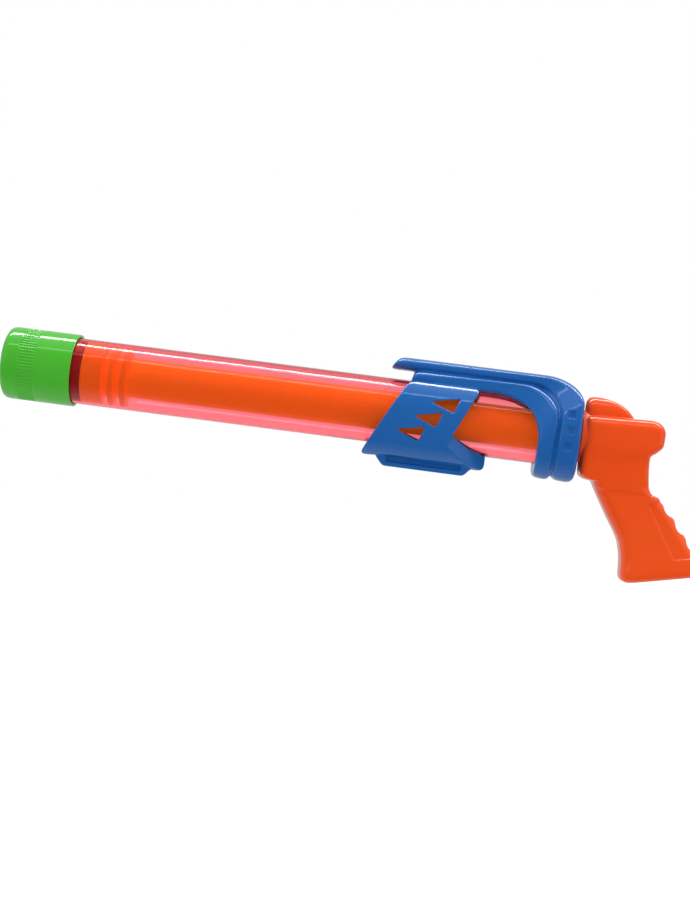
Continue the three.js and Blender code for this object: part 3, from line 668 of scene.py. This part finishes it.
handle = handle_form("handle", 0)
panel = plate("panel", eased([
    (51.3, -43.1), (58.6, -38.9), (120, -38.9, 0), (120, -72.4, 0), (85.3, -77.2), (73.5, -79.6),
], PANEL_CORNER), CUT_REACH, HANDLE_FRONT)
combine(panel, handle_form("inside", PANEL_STEP))
combine(handle, panel)
HUMP_ROWS = (
    (0, 10, 35.5, 10, 11.5, 5), (0, 17, 34, 17, 11.5, 5), (0, 20, 31.6, 20, 11.2, 5),
    (0, 22.4, 29, 22.4, 10.6, 5), (0.1, 24.6, 25.8, 24.6, 9.6, 5), (0.5, 26.4, 22, 26.4, 8.2, 5),
    (1.2, 27.7, 18.2, 27.7, 6.6, 4.5), (2.6, 28.6, 14, 28.6, 4.6, 4), (4.5, 29.1, 10.5, 29.1, 2.4, 2),
)
hump = lofted("hump", [
    ((x1, z1), (x2, z2), half, corner, corner)
    for x1, z1, x2, z2, half, corner in between(HUMP_ROWS, 3)], HANDLE_FRONT)
combine(handle, hump, "UNION")
GRIP_LEAN = math.radians(50.2)
FINGER_TOP, FINGER_COUNT, FINGER_PITCH, FINGER_RADIUS = (64.6, -46.9), 3, 14.7, 7.7
NOTCH_TOP, NOTCH_RADIUS = (59.4, -38.6), 4
hollows = []
for i in range(FINGER_COUNT):
    x = FINGER_TOP[0] + i * FINGER_PITCH * math.cos(GRIP_LEAN)
    z = FINGER_TOP[1] - i * FINGER_PITCH * math.sin(GRIP_LEAN)
    hollows.append((x, z, FINGER_RADIUS))
for x, z, radius in (*hollows, (*NOTCH_TOP, NOTCH_RADIUS)):
    x, z = x + radius * math.sin(GRIP_LEAN), z + radius * math.cos(GRIP_LEAN)
    combine(handle, bar_across("hollow", x, z, radius, -CUT_REACH, CUT_REACH, HANDLE_FRONT))
BOSS_RADIUS, BOSS_REACH = 18.6, 2.4
POCKET_RADIUS, POCKET_END = 14.8, 34.3
turnings = ((BOSS_RADIUS, BOSS_REACH, "UNION"), (POCKET_RADIUS, POCKET_END, "DIFFERENCE"))
for radius, reach, operation in turnings:
    bpy.ops.object.select_all(action="DESELECT")
    bpy.ops.mesh.primitive_cylinder_add(
        vertices=96, radius=radius * MM, depth=2 * reach * MM,
        location=side_point(0, 0, origin=HANDLE_FRONT), rotation=(0, math.pi / 2, 0))
    combine(handle, bpy.context.object, operation)
HANDLE_SCREWS = ((9, 20.7), (51.5, 5), (31, -47), (70, -84))
for x, z in HANDLE_SCREWS:
    recess = bar_across(
        "recess", x, z, SCREW_HEAD + SCREW_ROOM, SCREW_SEAT - SCREW_ROOM, SCREW_REACH, HANDLE_FRONT)
    combine(handle, recess)
soften(handle, HANDLE_VOXEL, SMOOTH_ROUNDS)
front_x = side_point(0.6, 0, origin=HANDLE_FRONT).x
orange = moulded("orange_plastic", (0.98, 0.098, 0.009), (0.97, 0.084, 0.007), 0.11, 0.1, front_x)
handle_shells = shells(handle, "handle_shell_left", "handle_shell_right")
for shell, node in zip(handle_shells, ("handle_left", "handle_right")):
    dress(shell, orange)
    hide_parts(node)
    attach(shell, "plunger")

# Screws: small pan-heads of plated steel with a cross recess, driven from the right-hand side.
# One is modelled and copied to each place in the guard and the handle.
SCREW_SHANK, SCREW_POINT, SCREW_LENGTH = 1.4, 0.5, 16.0
SCREW_TOP, SCREW_DOME, SCREW_BITE = 2.2, 0.9, 0.2
CROSS_ARM, CROSS_HALF, CROSS_DEPTH = 1.5, 0.28, 1.1
bpy.ops.object.select_all(action="DESELECT")
bpy.ops.mesh.primitive_cylinder_add(
    vertices=40, radius=SCREW_HEAD * MM, depth=SCREW_TOP * MM,
    location=(0, (SCREW_SEAT + SCREW_TOP / 2) * MM, 0), rotation=(math.pi / 2, 0, 0))
screw = bpy.context.object
bpy.ops.object.transform_apply(location=True, rotation=True, scale=True)
bpy.ops.object.mode_set(mode="EDIT")
bpy.ops.mesh.select_all(action="DESELECT")
bpy.ops.object.mode_set(mode="OBJECT")
for face in screw.data.polygons:
    face.select = face.normal.y > 0.9
bpy.ops.object.mode_set(mode="EDIT")
bpy.ops.mesh.bevel(offset=SCREW_DOME * MM, segments=5)
bpy.ops.object.mode_set(mode="OBJECT")
for along, across in ((CROSS_HALF, CROSS_ARM), (CROSS_ARM, CROSS_HALF)):
    bpy.ops.object.select_all(action="DESELECT")
    bpy.ops.mesh.primitive_cube_add(size=2, location=(0, (SCREW_SEAT + SCREW_TOP) * MM, 0))
    bpy.ops.transform.resize(value=(along * MM, CROSS_DEPTH * MM, across * MM))
    bpy.ops.object.transform_apply(location=False, rotation=False, scale=True)
    combine(screw, bpy.context.object)
bpy.ops.object.select_all(action="DESELECT")
bpy.ops.mesh.primitive_cone_add(
    vertices=24, radius1=SCREW_SHANK * MM, radius2=SCREW_POINT * MM, depth=SCREW_LENGTH * MM,
    location=(0, (SCREW_SEAT - SCREW_LENGTH / 2 + SCREW_BITE) * MM, 0), rotation=(math.pi / 2, 0, 0))
combine(screw, bpy.context.object, "UNION")
places = (
    ("guard_screw", "barrel", COLLAR_REAR, GUARD_SCREWS),
    ("handle_screw", "plunger", HANDLE_FRONT, HANDLE_SCREWS),
)
for node, body, origin, spots in places:
    for i, (x, z) in enumerate(spots, 1):
        bpy.ops.object.select_all(action="DESELECT")
        bpy.context.view_layer.objects.active = screw
        screw.select_set(True)
        bpy.ops.object.duplicate()
        copy = bpy.context.object
        copy.name = copy.data.name = f"{node}_head_{i}"
        bpy.ops.transform.translate(value=side_point(x, z, origin=origin))
        bpy.ops.object.transform_apply(location=True, rotation=True, scale=True)
        bpy.ops.object.shade_smooth_by_angle(angle=math.radians(30))
        dress(copy, steel)
        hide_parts(f"{node}_{i}")
        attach(copy, body)
bpy.data.objects.remove(screw)

# Studio: a pale paper floor well below the squirter, a wide light overhead, strips and a soft box that
# show only as highlights, and a white room with a dark curtain behind the camera for reflections.
# The camera looks from the left, level with the grip, tilted so the barrel slopes down to the right.
FLOOR_Z, PAPER_TONE, PAPER_FIBRE, PAPER_LIFT = -0.35, 0.63, 0.04, 0.55
bpy.ops.object.select_all(action="DESELECT")
bpy.ops.mesh.primitive_plane_add(size=16, location=(0, 0, FLOOR_Z))
floor = bpy.context.object
floor.name = "floor"
paper, shader, place = new_finish("white_paper")
fibres = place.node("ShaderNodeTexNoise", {}, {"Vector": place, "Scale": 8.0, "Detail": 3.0})
mirrored = place.node("ShaderNodeLightPath", {}, {}, "Is Glossy Ray")
forward = place.node("ShaderNodeSeparateXYZ", {}, {"Vector": place}, "Y") * -3.0
forward = place.node("ShaderNodeClamp", {}, {"Value": forward})
tone = (PAPER_TONE + fibres * PAPER_FIBRE) * (1 - mirrored * forward * 0.9)
grey = {"Red": tone, "Green": tone, "Blue": tone}
place.node("ShaderNodeCombineColor", {}, grey).drive(shader, "Base Color")
viewed = place.node("ShaderNodeLightPath", {}, {}, "Is Camera Ray")
through = place.node("ShaderNodeLightPath", {}, {}, "Is Transmission Ray")
viewed = viewed.maths("MAXIMUM", viewed, through)
lift = viewed * PAPER_LIFT
pale = {"Red": lift, "Green": lift, "Blue": lift}
place.node("ShaderNodeCombineColor", {}, pale).drive(shader, "Emission Color")
shader.inputs["Emission Strength"].default_value = 1
shader.inputs["Roughness"].default_value = 0.9
shader.inputs["Specular IOR Level"].default_value = 0
floor.data.materials.append(paper)
floor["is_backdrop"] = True

LAMPS = (
    ("overhead", (0.0, 0.0, 1.15), 1.4, 0.8, 5.5, "diffuse"),
    ("top_strip", (0.0, 0.22, 0.98), 1.7, 0.14, 13.0, "glossy"),
    ("front_strip", (0.0, -0.58, 1.03), 1.7, 0.06, 1.6, "glossy"),
    ("soft_box", (0.0, -0.18, 1.1), 1.7, 0.74, 1.2, "glossy"),
)
for name, spot, width, depth, power, look in LAMPS:
    aim = (Vector((spot[0], 0, axis_z)) - Vector(spot)).to_track_quat("-Z", "Y")
    bpy.ops.object.light_add(type="AREA", location=spot, rotation=aim.to_euler())
    lamp = bpy.context.object
    lamp.name = name
    lamp.data.shape, lamp.data.energy = "RECTANGLE", power
    lamp.data.size, lamp.data.size_y = width, depth
    lamp.visible_diffuse, lamp.visible_glossy = look == "diffuse", look == "glossy"

ROOM_LIGHT, ROOM_MIRRORED, CURTAIN_SHADE, TUBE_MIRRORED = 0.95, 0.6, 0.5, 0.8
world = bpy.data.worlds.new("white_room")
bpy.context.scene.world = world
world.use_nodes = True
sky = world.node_tree.nodes["Background"]
way = Wire(world.node_tree, None).node("ShaderNodeTexCoord", {}, {}, "Generated")
across, beyond = [way.node("ShaderNodeSeparateXYZ", {}, {"Vector": way}, axis) for axis in "XY"]
curtain = way.node("ShaderNodeClamp", {}, {"Value": (1 - across * across * 2.0) * beyond * -2.0})
viewed = way.node("ShaderNodeLightPath", {}, {}, "Is Camera Ray")
kinds = ("Diffuse", "Glossy", "Transmission")
depths = [way.node("ShaderNodeLightPath", {}, {}, f"{kind} Depth") for kind in kinds]
bounced, mirrored, through = [way.node("ShaderNodeClamp", {}, {"Value": depth}) for depth in depths]
sky.inputs["Color"].default_value = (1, 1, 1, 1)
reflection = (ROOM_MIRRORED - curtain * CURTAIN_SHADE) * (1 - through) + through * TUBE_MIRRORED
clear = through + (1 - through) * ROOM_LIGHT
first = mirrored * reflection + (1 - mirrored) * clear
lit = bounced * ROOM_LIGHT + (1 - bounced) * first
(viewed + (1 - viewed) * lit).drive(sky, "Strength")

YAW, ROLL = math.radians(3.2), math.radians(7.49)
CAMERA_SPOT, LENS = (0.05563, -1.1255, 0.06103), 60.65
sideways = Vector((math.cos(YAW), math.sin(YAW), 0))
back = Vector((math.sin(YAW), -math.cos(YAW), 0))
upright = Vector((0, 0, 1))
right = sideways * math.cos(ROLL) + upright * math.sin(ROLL)
up = upright * math.cos(ROLL) - sideways * math.sin(ROLL)
pose = Matrix((right, up, back)).transposed()
bpy.ops.object.camera_add(location=CAMERA_SPOT, rotation=pose.to_euler())
camera = bpy.context.object
camera.data.sensor_width, camera.data.lens = 36, LENS
bpy.context.scene.camera = camera
bpy.context.scene.view_settings.view_transform = "Standard"

low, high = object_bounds()
